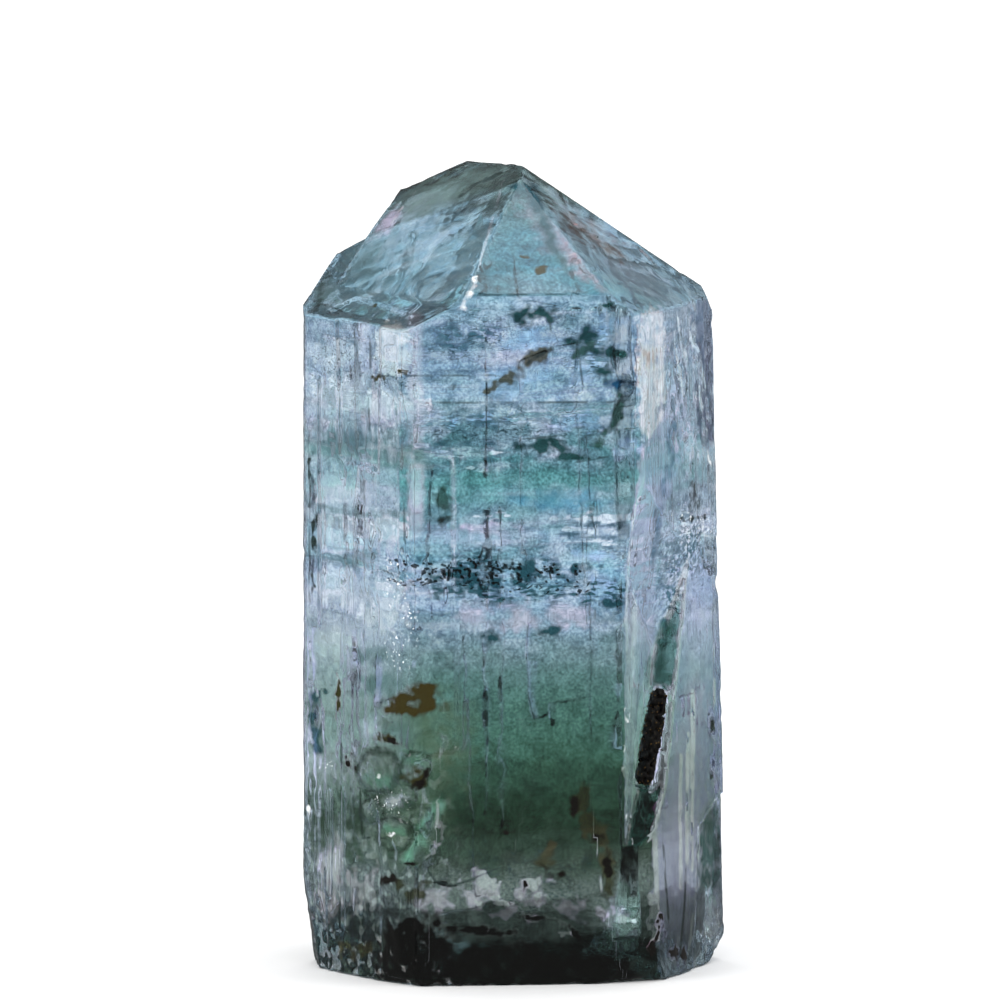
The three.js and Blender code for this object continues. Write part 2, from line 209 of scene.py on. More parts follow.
def hairlines(*paths):
    """The signed distance in mm to the nearest of the finest lines. A path lists (across, up)."""
    nearest = np.full(len(points), NOWHERE)
    for path in paths:
        for (a0, u0), (a1, u1) in zip(path, path[1:]):
            length = math.hypot(a1 - a0, u1 - u0)
            ca, cu = (a1 - a0) / length, (u1 - u0) / length
            along = np.clip((across - a0) * ca + (up - u0) * cu, 0, length)
            da, du = across - a0 - along * ca, up - u0 - along * cu
            distance = np.hypot(da, du) * np.where(da * -cu + du * ca < 0, -1, 1)
            nearest = np.where(np.abs(distance) < np.abs(nearest), distance, nearest)
    return np.where(far_side > 0.5, NOWHERE, nearest)


striae = rough_field(points, (0.16, 0.16, 9), 1)
fine_striae = rough_field(points, (0.06, 0.06, 5), 2, 2)
partings = rough_field(points, (4, 4, 0.22), 3)
swell = rough_field(points, (1.6, 1.6, 2.6), 4)
crumbs = rough_field(points, (0.22, 0.22, 0.22), 5)
bites = rough_field(points, (0.5, 0.5, 0.9), 6)
foot = 1 - ramp(z, 0.5, 1.6)
bubbly = (1 - ramp(z, 4.8, 7.2)) * ramp(-x, 1.6, 3.0) * (1 - 0.7 * far_side)
fracture = ramp(z, 9.3, 9.9) * (1 - ramp(z, 10.6, 11.3))
striated = right * (0.2 + 0.5 * ramp(z, 11.5, 12.5)) + left * (0.05 + 0.3 * (1 - ramp(z, 3.5, 6)))
# Round blisters in the dull part low on the left: middle (across, up) and radius.
blisters = np.zeros(len(points))
for middle, level, radius in (
    (-3.35, 4.75, 0.52), (-2.95, 3.2, 0.43), (-2.45, 4.85, 0.36), (-3.55, 3.75, 0.3), (-2.3, 3.6, 0.3),
    (-4.0, 2.6, 0.34), (-2.2, 2.7, 0.3), (-3.2, 5.75, 0.26), (-2.0, 5.4, 0.4),
):
    reach = np.hypot(across - middle, up - level) / radius + NOWHERE * far_side
    blisters = np.maximum(blisters, np.sqrt(np.clip(1 - reach**2, 0, 1)) * radius * 0.2)

relief = 0.03 * striae * prism * striated
relief += 0.004 * fine_striae * prism * (1 - 0.65 * left)
relief += 0.008 * partings * prism * (1 + 1.5 * fracture)
relief += 0.02 * swell
relief += 0.012 * crumbs * (0.15 + foot + 0.5 * fracture)
relief += 0.08 * (bites**2 - 0.2) * bubbly + blisters
relief -= 0.07 * ramp(bites, 0.15, 0.75) * edge * (0.35 + 0.65 * prism)
relief -= 0.015 * edge**3
relief -= 0.025 + 0.05 * foot * ramp(crumbs, 0, 0.6)

front_top = top * ramp(-outward[:, 1], 0.42, 0.55)
# Low down, the tone of the left face runs on into the front one without a step.
upper = ramp(z, 8.5, 10.5)
left_tone = left * upper + ramp(-x, 2.2, 4.4) * (1 - upper)
nothing = np.zeros(len(points))
layers = {
    "growth_faces": (left_tone, right, top, front_top),
    "channel_faces": (riser, channel_floor, bubbly, crumbs),
    "fields": (partings, bites, nothing, nothing),
    "clouds": (
        rough_field(points, (1.1, 1.1, 1.1), 7), rough_field(points, (1.2, 1.2, 0.3), 8),
        rough_field(points, (1.0, 1.0, 0.55), 9), rough_field(points, (0.8, 0.8, 0.36), 10),
    ),
    "hairlines": (
        # cracks, growth lines and the edges of healed partings
        hairlines([(0.88, 15.78), (0.96, 15.14)], [(1.6, 14.9), (1.68, 14.3)],
              [(-0.85, 16.47), (1.15, 16.49)], [(-3.3, 14.46), (-0.5, 14.48)],
              [(-2.3, 13.8), (2.44, 13.82)], [(0.35, 12.92), (1.15, 13.0)], [(1.25, 12.3), (2.4, 12.5)],
              [(-4.95, 13.85), (-4.7, 13.4), (-4.4, 12.9)], [(-5.08, 13.0), (-5.07, 9.0)],
              [(-3.55, 15.4), (-3.56, 14.6)], [(-3.62, 14.4), (-3.58, 13.1)],
              [(-2.72, 11.4), (-2.7, 10.4)], [(-4.95, 16.35), (-4.25, 16.1)], [(-4.28, 5.4), (-4.3, 4.1)],
              [(-3.84, 4.2), (-3.8, 3.2)], [(-4.3, 2.6), (-4.35, 0.8)], [(-3.76, 2.2), (-3.74, 0.9)],
              [(-3.72, 3.1), (-2.9, 3.1)], [(3.7, 2.9), (3.82, 1.1)], [(4.28, 2.3), (4.2, 1.2),
              (4.12, 0.2)], [(-2.58, 2.52), (-2.18, 2.4), (-1.93, 2.03), (-1.46, 1.93), (-1.03, 2.09),
              (-0.53, 2.3)], [(-3.6, 4.25), (-3.15, 4.24)], [(-3.32, 3.55), (-3.0, 3.62), (-2.7, 3.5)]),
        # painted highlights along the ridge, the channel rims and the outline edges, and other bright lines
        hairlines([(-0.85, 17.3), (-0.36, 19.0)], [(3.2, 11.9), (3.0, 11.2), (2.87, 10.2), (2.81, 9.2),
              (2.8, 7.2)], [(4.05, 15.9), (4.2, 14.9)], [(4.55, 15.2), (4.75, 14.2)],
              [(4.99, 8.4), (4.98, 6.4)], [(5.05, 4.0), (4.6, 3.35), (4.58, 2.3), (4.35, 0.3)],
              [(2.06, 2.65), (2.16, 1.78), (2.28, 1.29)], [(-3.05, 18.3), (-2.75, 18.7)],
              [(-1.87, 3.94), (-1.9, 3.5)], [(4.2, 15.4), (4.45, 13.9)], [(4.4, 15.6), (4.75, 13.2)],
              [(3.98, 15.4), (4.2, 14.0)], [(3.37, 16.0), (3.4, 13.4)], [(4.3, 11.1), (5.0, 11.0)],
              [(4.2, 10.85), (4.95, 10.72)], [(4.35, 10.6), (5.0, 10.5)]),
        # dark lines between the bright ones on the striated edge, and painted dark shade along the left and
        # right outline edges
        hairlines([(4.1, 15.6), (4.35, 13.8)], [(4.3, 15.7), (4.62, 13.4)], [(3.88, 15.4), (4.08, 13.9)],
              [(4.55, 15.8), (4.9, 13.4)], [(4.2, 15.9), (4.45, 14.6)], [(4.0, 14.6), (4.2, 13.4)],
              [(-5.0, 12.4), (-4.99, 9.6)], [(5.02, 9.7), (5.05, 8.7)], [(4.4, 11.0), (4.5, 11.7)]),
        nothing,
    ),
}

# The patches of tone in the order in which they lie over one another. Each one is its tone, how much of it
# lies there, its shape, and how ragged its rim is.
patches = []


def patch(tone, share, shape, ragged=3.0, soft=0.35, texture=None, solid=0.0):
    """Puts a patch on the list. Its rim fades over soft, solid is how little light passes through it, and a
    texture leaves only some of it."""
    patches.append((tone, share, shape, ragged, soft, texture, solid))


# The light sheet between channel and right edge, the dark sunk field in it, a painted highlight along the
# edges there, the whitish strip, the dark right shoulder, the dark floor above the grain, and the smooth
# ribbon beside the channel, with painted shade on its right side and painted glints on its left rim.
patch((200, 202, 240), 0.5, strokes([(4.6, 9.6, 0.35), (4.6, 8.0, 0.42), (4.4, 6.0, 0.45),
      (4.1, 4.0, 0.42), (3.95, 2.6, 0.4), (3.9, 1.2, 0.4)]), ragged=1.5, soft=0.4)
patch((146, 142, 170), 0.35, strokes([(4.55, 6.6, 0.35), (4.4, 5.2, 0.45), (4.15, 3.6, 0.4),
      (4.0, 2.0, 0.4)]), ragged=1.5, soft=0.6, solid=0.4)
patch((56, 92, 96), 0.9, strokes([(5.0, 3.7, 0.18), (4.88, 2.9, 0.36), (4.92, 2.0, 0.3)]), ragged=2.0)
# A painted highlight: pale light laid along the edges between the channel and the right edge.
edge_highlight_zone = (across > 3.3) & (across < 4.8) & (z > 1) & (z < 11.5)
patch((226, 228, 246), 0.8, 3 * (1 - edge) + NOWHERE * (1 - edge_highlight_zone + far_side), ragged=1.0)
patch((255, 238, 242), 0.9, strokes([(3.43, 15.8, 0.3), (3.43, 13.3, 0.34)], bent=False), ragged=2.0,
      soft=0.2, solid=0.12)
patch((180, 160, 152), 0.8, ovals((3.36, 14.9, 0.2, 0.36)), ragged=2.0, soft=0.7)
patch((194, 200, 222), 0.75, ovals((4.2, 13.2, 0.2, 0.3), (4.55, 12.9, 0.22, 0.5), (4.3, 10.8, 0.65, 0.38),
      (4.95, 1.0, 0.3, 0.6)), ragged=3.0)
patch((84, 88, 112), 0.85, strokes([(4.76, 16.2, 0.3), (4.8, 13.0, 0.24)], bent=False), ragged=2.0,
      soft=0.3)
patch((46, 96, 90), 0.75, strokes([(3.75, 8.3, 0.2), (3.55, 7.4, 0.26), (3.6, 6.9, 0.3)]), ragged=1.5)
patch((176, 180, 204), 0.9, strokes([(4.05, 14.09, 0.2), (3.98, 13.27, 0.36), (3.68, 12.53, 0.5),
      (3.36, 11.42, 0.38), (3.24, 10.5, 0.38), (3.16, 9.57, 0.34), (3.14, 7.96, 0.34), (3.02, 7.42, 0.26),
      (2.92, 6.48, 0.19), (2.89, 5.49, 0.09), (2.87, 3.63, 0.04)], bent=False), ragged=0.5, soft=0.12)
# Painted shade on the ribbon's right side, where its curve turns away from the light.
patch((98, 120, 146), 0.6, strokes([(3.98, 13.4, 0.12), (3.9, 12.4, 0.16), (3.6, 11.3, 0.14),
      (3.45, 9.8, 0.1)]))
# Painted glints along the ribbon's left rim.
patch((236, 242, 252), 0.7, strokes([(3.0, 9.2, 0.03), (2.93, 7.0, 0.1), (2.84, 4.2, 0.07)]), ragged=1.0,
      soft=0.8)
# Milk under the left shoulder and the left and right top faces, where the crystal is less clear.
patch((108, 128, 128), 0.7, ovals((-3.6, 17.4, 0.8, 0.45, 52), (-2.2, 18.8, 1.1, 0.3, 22),
      (-4.7, 16.6, 0.4, 0.5, 40)), ragged=1.5, soft=0.6, solid=0.45)
patch((118, 164, 180), 0.5, ovals((-3.0, 17.0, 1.7, 0.8, 20)), ragged=1.0, soft=0.6, solid=0.4)
patch((132, 148, 164), 0.7, ovals((2.7, 17.15, 2.1, 0.6, -36)), ragged=1.0, soft=0.6, solid=0.45)
# Brown haze on the right top face, light streaks on the left one, dark lines at the apex.
patch((120, 104, 96), 0.7, ovals((1.7, 18.15, 0.8, 0.25, -36), (2.4, 17.6, 0.4, 0.15, -30)), ragged=3.0,
      soft=0.6)
patch((184, 210, 226), 0.5, strokes([(-2.95, 17.35, 0.07), (-1.6, 18.0, 0.1)],
      [(-3.4, 16.9, 0.05), (-1.9, 17.5, 0.08)], [(-4.4, 16.3, 0.06), (-3.3, 16.55, 0.08)],
      [(-2.2, 16.4, 0.1), (-1.2, 17.0, 0.06)]), ragged=2.0, soft=0.8)
patch((116, 144, 142), 0.8, ovals((-1.9, 19.0, 1.2, 0.3, 20), (-0.9, 19.4, 0.5, 0.2)), ragged=3.0,
      soft=0.6, solid=0.5)
patch((60, 84, 84), 0.6, strokes([(-1.45, 18.95, 0.04), (-0.35, 19.5, 0.05)],
      [(-4.9, 16.2, 0.08), (-4.6, 17.0, 0.1)]), ragged=2.0)
patch((22, 62, 70), 0.95, strokes([(0.5, 18.95, 0.14), (0.96, 17.7, 0.12), (1.3, 17.1, 0.05)],
      [(0.05, 19.1, 0.16), (0.5, 19.1, 0.14)]), ragged=2.0, soft=0.7)
# A painted highlight: a small facet of the left shoulder catching the light.
patch((200, 206, 232), 0.9, ovals((-3.16, 18.3, 0.42, 0.17, 44)), ragged=1.5, soft=0.5, solid=0.4)
# Level light windows and bars in the left face, the grey-green lenses, the pocket on the left edge.
patch((214, 214, 234), 0.5, strokes([(-3.7, 15.7, 0.16), (-3.66, 9.6, 0.12)],
      [(-2.45, 15.9, 0.2), (-2.4, 10.6, 0.18)], bent=False), ragged=1.0, soft=0.4)
patch((250, 250, 255), 0.9, strokes([(-3.0, 15.45, 0.36), (-3.0, 14.85, 0.38)], bent=False), ragged=1.2,
      soft=0.15, solid=0.08)
patch((236, 236, 250), 0.85, ovals((-4.55, 15.0, 0.5, 0.35), (-4.4, 14.0, 0.6, 0.4),
      (-3.2, 13.8, 0.9, 0.3), (-4.3, 11.65, 0.6, 0.3), (-4.4, 10.6, 0.6, 0.4), (-3.2, 10.7, 0.5, 0.3),
      (-4.3, 9.3, 0.7, 0.4), (-3.3, 8.9, 0.6, 0.6), (-4.5, 7.9, 0.5, 0.4)))
patch((122, 142, 150), 0.8, ovals((-3.9, 12.75, 1.1, 0.34, -4), (-2.9, 12.5, 0.8, 0.28, -2),
      (-3.93, 9.96, 0.62, 0.18, 3), (-4.2, 11.15, 0.95, 0.08, -9), (-2.9, 11.1, 0.5, 0.08, 3),
      (-3.5, 7.6, 0.4, 0.2), (-3.3, 6.9, 0.5, 0.3), (-2.8, 5.75, 0.4, 0.25)), ragged=2.0)
# Light blue windows in the front's upper half, the aqua patch, lavender ones, and light level streaks.
patch((142, 178, 214), 0.7, ovals((0.1, 14.4, 0.9, 0.3, 14), (2.4, 15.5, 0.4, 0.35),
      (0.3, 15.3, 0.6, 0.3, 15), (2.75, 12.7, 0.3, 0.2), (1.8, 14.6, 0.3, 0.4), (1.6, 13.4, 0.5, 0.2),
      (2.15, 9.35, 0.4, 0.2), (1.97, 10.05, 0.45, 0.12), (-0.9, 13.4, 0.8, 0.15)))
patch((40, 128, 158), 0.6, ovals((1.35, 11.42, 0.7, 0.24), (0.2, 11.4, 0.3, 0.12)), ragged=2.0, soft=0.5)
patch((176, 182, 208), 0.65, ovals((0.1, 8.55, 0.42, 0.42), (-1.1, 10.6, 0.9, 0.25), (-1.0, 8.6, 0.4, 0.3),
      (1.4, 8.6, 0.5, 0.25), (-0.2, 14.9, 0.5, 0.2)))
patch((64, 92, 110), 0.75, strokes([(1.2, 10.84, 0.04), (2.8, 10.74, 0.05)],
      [(1.0, 10.58, 0.03), (2.7, 10.5, 0.04)], [(1.6, 10.32, 0.03), (2.8, 10.26, 0.04)],
      [(-1.9, 10.9, 0.03), (0.4, 10.86, 0.03)]), ragged=3.0)
patch((200, 220, 240), 0.9, strokes([(0.9, 10.98, 0.05), (2.9, 10.88, 0.06)],
      [(1.2, 10.7, 0.04), (2.8, 10.62, 0.05)], [(1.5, 11.12, 0.02), (2.9, 11.04, 0.03)],
      [(1.0, 10.44, 0.03), (2.8, 10.38, 0.04)], [(-1.6, 11.05, 0.03), (0.2, 11.0, 0.03)],
      [(-1.9, 12.5, 0.03), (-0.3, 12.55, 0.03)], [(-1.6, 12.2, 0.03), (-0.6, 12.2, 0.03)]), ragged=3.0)
# Nets of fine dark threads, and the films of the healed break.
patch((16, 42, 50), 1.0, ovals((-1.1, 15.4, 1.3, 0.6, 18), (1.9, 15.1, 1.0, 0.7, -30),
      (4.3, 10.3, 0.6, 1.1), (-0.4, 13.2, 2.2, 0.4), (-4.2, 14.8, 0.9, 1.0), (-3.0, 14.4, 0.7, 0.4),
      (0.2, 1.7, 1.8, 0.8)), ragged=2.0, soft=0.6, texture="threads")
patch((40, 84, 100), 0.75, ovals((-1.18, 15.44, 0.95, 0.38, 18), (-0.6, 13.4, 1.8, 0.25),
      (2.0, 15.1, 0.6, 0.5, -30), (4.4, 10.3, 0.4, 0.9), (-1.2, 12.6, 1.2, 0.3), (3.87, 9.3, 0.3, 1.0)),
      ragged=2.0, soft=0.5, texture="films")
patch((22, 62, 72), 0.85, ovals((-0.5, 9.67, 1.6, 0.42, -2), (2.1, 9.15, 0.8, 0.35),
      (-0.2, 9.2, 2.0, 0.3)), ragged=2.0, soft=0.3, texture="films")
patch((8, 46, 54), 0.75, ovals((-1.0, 9.5, 0.9, 0.28, -4), (0.4, 9.55, 0.5, 0.2), (-0.55, 10.2, 0.1, 0.09),
      (0.43, 9.78, 0.1, 0.17), (-1.24, 9.3, 0.17, 0.22), (1.75, 9.74, 0.45, 0.1), (2.3, 8.88, 0.36, 0.1),
      (-1.92, 9.0, 0.2, 0.09), (-0.7, 8.05, 0.2, 0.15), (0.8, 8.2, 0.25, 0.08)), ragged=4.0)
# Dark green and teal inclusions and feathers under the top, the deep blue one, and the brown one.
patch((6, 40, 40), 1.0, ovals((0.4, 15.92, 0.44, 0.19, -3), (1.7, 15.35, 0.26, 0.28),
      (2.3, 15.05, 0.38, 0.12, -12), (2.25, 16.2, 0.18, 0.05), (2.2, 14.45, 0.22, 0.17),
      (0.75, 12.72, 0.45, 0.22, -8), (-1.5, 14.2, 0.14, 0.06), (1.4, 12.45, 0.4, 0.06)), ragged=3.0)
patch((26, 58, 52), 0.9, strokes([(2.54, 14.1, 0.12), (2.56, 13.45, 0.12), (2.35, 13.1, 0.09),
      (2.1, 12.85, 0.12)], [(2.54, 13.1, 0.03), (3.0, 13.15, 0.03)],
      [(-1.75, 11.7, 0.12), (-1.72, 11.0, 0.17)], [(1.5, 15.0, 0.08), (1.95, 15.2, 0.1)]), ragged=3.0)
patch((4, 48, 88), 1.0, ovals((2.55, 14.3, 0.36, 0.18)), ragged=1.5)
patch((60, 58, 46), 0.9, strokes([(1.0, 15.16, 0.07), (0.67, 14.95, 0.17), (0.4, 14.7, 0.19),
      (0.03, 14.45, 0.13), (-0.25, 14.3, 0.07), (-0.84, 14.05, 0.04)]), ragged=4.0)
# Near-black spots; the thin ones along the left and right outline edges are painted dark edge shade.
patch((20, 26, 22), 0.9, ovals((0.75, 15.02, 0.16, 0.05, 30), (0.42, 14.72, 0.18, 0.05, 36),
      (0.98, 15.1, 0.05, 0.12), (-1.73, 11.0, 0.15, 0.18), (4.45, 11.5, 0.1, 0.34),
      (4.4, 10.95, 0.3, 0.06, 10), (2.07, 8.89, 0.09, 0.09), (4.92, 5.9, 0.05, 0.2),
      (4.95, 4.6, 0.04, 0.12), (-5.02, 12.2, 0.03, 0.5), (-4.99, 10.7, 0.05, 0.9), (-5.0, 9.4, 0.04, 0.4),
      (3.55, 8.25, 0.05, 0.07)), ragged=3.0)
# The dull, blistered part low on the left, with mint and milky spots and greenish gaps.
patch((84, 108, 90), 0.65, ovals((-1.9, 5.3, 0.75, 1.1), (-2.6, 4.0, 0.8, 0.9), (-3.4, 4.6, 0.7, 0.9),
      (-2.1, 6.0, 0.9, 0.6), (-3.0, 3.2, 0.6, 0.6)), ragged=2.0, soft=0.6, solid=0.35)
patch((214, 222, 240), 0.7, ovals((-4.65, 4.9, 0.42, 0.5), (-3.6, 5.75, 0.25, 0.25),
      (-4.55, 2.4, 0.25, 0.6), (-2.9, 4.0, 0.3, 0.12)), ragged=2.0, soft=0.6, solid=0.15)
patch((52, 76, 62), 0.7, ovals((-3.97, 3.1, 0.22, 0.75), (-2.7, 2.75, 0.5, 0.2), (-2.6, 3.9, 0.25, 0.15),
      (-3.6, 4.15, 0.3, 0.15), (-4.75, 3.2, 0.2, 0.6), (-2.2, 2.9, 0.3, 0.2)))
patch((98, 150, 130), 0.55, strokes([(-1.87, 3.94, 0.13), (-2.3, 3.2, 0.15), (-2.65, 2.6, 0.1)],
      [(-3.6, 4.6, 0.1), (-3.1, 4.5, 0.14)], [(-3.2, 3.35, 0.1), (-2.7, 3.3, 0.1)],
      [(-2.6, 5.1, 0.16), (-2.35, 5.0, 0.12)]), ragged=2.0, soft=0.7)
patch((44, 62, 52), 0.8, np.abs(ovals((-3.35, 4.75, 0.52, 0.5), (-2.95, 3.2, 0.43, 0.4),
      (-2.42, 4.8, 0.36, 0.42), (-3.55, 3.75, 0.28, 0.3), (-2.3, 3.6, 0.28, 0.3)) - 1) / 0.14, ragged=1.0,
      soft=0.6)
patch((40, 78, 92), 0.85, strokes([(-4.95, 6.6, 0.14), (-4.97, 5.8, 0.16), (-4.85, 5.3, 0.13)],
      [(-4.9, 6.7, 0.06), (-4.65, 6.75, 0.05)]), ragged=2.0)
# The pale broken strip above the foot, grey-lavender base, and the black foot with its two arches, painted
# shade and dark reflection of the mount the crystal stands on.
patch((150, 152, 162), 0.9, ovals((-0.87, 1.84, 0.55, 0.28, 8), (0.37, 1.8, 0.36, 0.36),
      (-2.0, 1.6, 0.5, 0.22), (-3.9, 1.8, 0.4, 0.4), (0.0, 1.3, 0.5, 0.15), (1.4, 1.4, 0.4, 0.2),
      (2.3, 1.2, 0.4, 0.15), (-4.6, 1.5, 0.3, 0.5)), ragged=4.0)
patch((206, 212, 222), 0.8, ovals((0.4, 1.95, 0.2, 0.2), (-0.6, 2.05, 0.25, 0.12), (-3.6, 1.6, 0.12, 0.2),
      (-0.3, 1.5, 0.3, 0.08), (2.6, 1.1, 0.2, 0.08), (1.2, 0.75, 0.2, 0.06, -20), (3.4, 1.0, 0.1, 0.5)),
      ragged=4.0)
patch((40, 42, 24), 0.8, strokes([(1.66, 4.3, 0.14), (1.6, 3.7, 0.18), (2.05, 3.2, 0.2), (2.3, 2.5, 0.15),
      (2.35, 1.7, 0.12)], [(-2.9, 1.95, 0.12), (-2.5, 1.7, 0.2), (-2.1, 1.95, 0.1)],
      [(0.9, 2.9, 0.1), (0.7, 2.4, 0.15)], [(-3.6, 0.35, 0.15), (-4.2, 0.3, 0.2)]), ragged=4.0)
# Iron stains, then the black-brown and black spots, and painted glints where small broken faces catch the
# light.
patch((50, 44, 16), 1.0, ovals((-2.36, 6.44, 0.64, 0.3), (-2.28, 6.68, 0.38, 0.26),
      (-2.95, 6.26, 0.36, 0.12)), ragged=1.0, soft=0.2, solid=0.9)
patch((44, 44, 18), 0.95, ovals((-4.36, 6.62, 0.06, 0.48), (-2.42, 4.6, 0.28, 0.28),
      (-3.2, 5.55, 0.3, 0.12), (0.66, 17.08, 0.16, 0.08, 10), (0.27, 17.42, 0.08, 0.06),
      (-3.5, 16.22, 0.1, 0.06), (-3.36, 14.41, 0.16, 0.05), (-2.74, 14.6, 0.1, 0.05),
      (3.03, 6.9, 0.03, 0.08)), ragged=1.6, soft=0.25, solid=0.9)
patch((12, 10, 7), 1.0, ovals((-3.3, 5.63, 0.09, 0.12), (-2.97, 5.44, 0.23, 0.08, -20),
      (-4.02, 4.96, 0.08, 0.19, 15), (-2.19, 4.78, 0.1, 0.22), (-2.48, 4.33, 0.2, 0.12),
      (1.5, 3.8, 0.11, 0.3), (2.05, 3.05, 0.14, 0.14), (2.3, 2.5, 0.07, 0.3), (-0.12, 3.23, 0.15, 0.08),
      (0.7, 2.28, 0.12, 0.13), (1.1, 2.18, 0.2, 0.05), (1.3, 2.43, 0.05, 0.1), (0.27, 1.9, 0.08, 0.16),
      (-3.18, 2.12, 0.14, 0.16), (-2.6, 2.5, 0.1, 0.05), (3.62, 1.0, 0.07, 0.3), (3.45, 0.4, 0.12, 0.2),
      (3.95, 0.2, 0.12, 0.15), (4.2, 0.2, 0.06, 0.2)), ragged=4.0, soft=0.3, solid=1.0)
# Painted shade: the black foot and its arches stand for the dark mount seen through and below the crystal.
patch((4, 5, 4), 1.0, ovals((-2.39, 0.1, 1.0, 1.14), (-0.2, -0.25, 1.6, 0.7), (1.6, -0.35, 1.4, 0.6)),
      ragged=0.8, soft=0.12, solid=1.0)
patch((4, 6, 5), 0.95, strokes([(-0.16, 1.6, 0.04), (0.15, 1.18, 0.06), (0.77, 1.16, 0.06),
      (1.26, 0.95, 0.08), (1.7, 0.48, 0.07)], [(-1.6, 0.9, 0.05), (-0.9, 0.8, 0.1), (0.0, 0.75, 0.1)],
      [(-2.1, 2.03, 0.05), (-1.46, 1.93, 0.05)]), ragged=3.0, soft=0.3, solid=1.0)
# Painted glints: white highlights on the ridge, the ribbon's rim, the blisters and the edges.
patch((250, 252, 255), 0.9, ovals((-1.15, 16.42, 0.24, 0.09, 64), (-0.96, 16.8, 0.16, 0.05, 64),
      (4.84, 12.3, 0.05, 0.18), (2.74, 6.25, 0.05, 0.12), (2.8, 6.0, 0.04, 0.06), (2.72, 5.2, 0.04, 0.14),
      (2.74, 4.85, 0.05, 0.06), (-3.41, 4.62, 0.13, 0.05), (-3.33, 5.37, 0.08, 0.03),
      (-2.98, 3.2, 0.12, 0.05), (-5.06, 3.75, 0.04, 0.07), (2.88, 3.12, 0.04, 0.12),
      (2.8, 3.65, 0.03, 0.1)), ragged=3.0, soft=0.3, solid=0.6)
# More painted glints, broken up by the fine grain.
patch((250, 252, 255), 1.0, ovals((-2.95, 9.4, 0.3, 0.6), (-2.65, 8.7, 0.22, 0.7, 15),
      (-2.85, 7.7, 0.3, 0.5), (-4.7, 4.9, 0.35, 0.15), (-3.1, 3.9, 0.45, 0.3), (4.4, 10.8, 0.4, 0.4)),
      ragged=2.0, soft=0.35, texture="grain", solid=1.0)

# The mesh keeps how strongly each patch lies at each point, three patches at a time.
for i in range(0, len(patches), 3):
    strengths = [
        share * np.clip((1 + soft - shape) / (2 * soft), -3, 1.2)
        for _, share, shape, _, soft, *_ in patches[i:i + 3]
    ]
    strengths += [nothing] * (3 - len(strengths))
    layer = crystal.data.attributes.new(f"patches_{i // 3}", "FLOAT_VECTOR", "POINT")
    layer.data.foreach_set("vector", np.stack(strengths, axis=1).astype(np.float32).ravel())

low, high = (np.array(corner) / MM for corner in solid_box)
points = np.clip(points + outward * relief[:, None], low, high)
crystal.data.vertices.foreach_set("co", points.ravel())
for name, parts in layers.items():
    layer = crystal.data.attributes.new(name, "FLOAT_COLOR", "POINT")
    layer.data.foreach_set("color", np.stack(parts, axis=1).astype(np.float32).ravel())
crystal.data.transform(Matrix.Scale(MM, 4))
crystal.data.update()


def shade(red, green, blue):
    """A colour from its screen values of 0 to 255."""
    parts = (c / 255 for c in (red, green, blue))
    return (*(c / 12.92 if c <= 0.04045 else ((c + 0.055) / 1.055) ** 2.4 for c in parts), 1)


def feed(socket, value):
    if isinstance(value, bpy.types.NodeSocket):
        socket.id_data.links.new(value, socket)
    elif value is not None:
        socket.default_value = value


class Finish:
    """A material's tree with short calls for the nodes that its colour, gloss and relief are made of."""

    def __init__(self, name):
        self.material = bpy.data.materials.new(name)
        self.material.use_nodes = True
        self.tree = self.material.node_tree
        self.tree.nodes.clear()

    def node(self, kind, *values, **settings):
        made = self.tree.nodes.new("ShaderNode" + kind)
        for name, value in settings.items():
            setattr(made, name, value)
        for socket, value in zip(made.inputs, values):
            feed(socket, value)
        return made

    def sum(self, kind, *values):
        return self.node("Math", *values, operation=kind).outputs[0]

    def vector(self, kind, *values):
        made = self.node("VectorMath", *values, operation=kind)
        return made.outputs["Value" if kind in ("LENGTH", "DOT_PRODUCT") else "Vector"]

    def cloud(self, place, size, detail=3, stretch=(1, 1, 1)):
        """Noise of 0 to 1 with grains of the given size in mm, drawn out by stretch."""
        scaled = self.vector("DIVIDE", place, tuple(size * s for s in stretch))
        return self.node("TexNoise", scaled, None, 1.0, detail).outputs[0]

    def rise(self, value, low, high):
        """0 where value is low, 1 where it is high, and smooth between."""
        return self.node("MapRange", value, low, high, 0, 1, interpolation_type="SMOOTHSTEP").outputs[0]

    def mixed(self, share, under, over, how="MIX"):
        made = self.node("Mix", data_type="RGBA", blend_type=how)
        feed(made.inputs[0], share)
        feed(made.inputs[6], under)
        feed(made.inputs[7], over)
        return made.outputs[2]

    def between(self, share, low, high):
        """A number that goes from low to high as share goes from 0 to 1."""
        made = self.node("Mix", data_type="FLOAT")
        feed(made.inputs[0], share)
        feed(made.inputs[2], low)
        feed(made.inputs[3], high)
        return made.outputs[0]

    def bands(self, height, top, stops):
        """Colours against height in mm, listed from the top down."""
        made = self.node("ValToRGB", self.sum("DIVIDE", height, top))
        stripe = made.color_ramp
        for i, (at, colour) in enumerate(reversed(stops)):
            stop = stripe.elements[i] if i < 2 else stripe.elements.new(at / top)
            stop.position = at / top
            stop.color = shade(*colour)
        return made.outputs[0]

    def stored(self, name):
        """The four numbers that the mesh keeps under a name."""
        made = self.node("Attribute", attribute_name=name)
        return (*self.node("SeparateColor", made.outputs["Color"]).outputs, made.outputs["Alpha"])


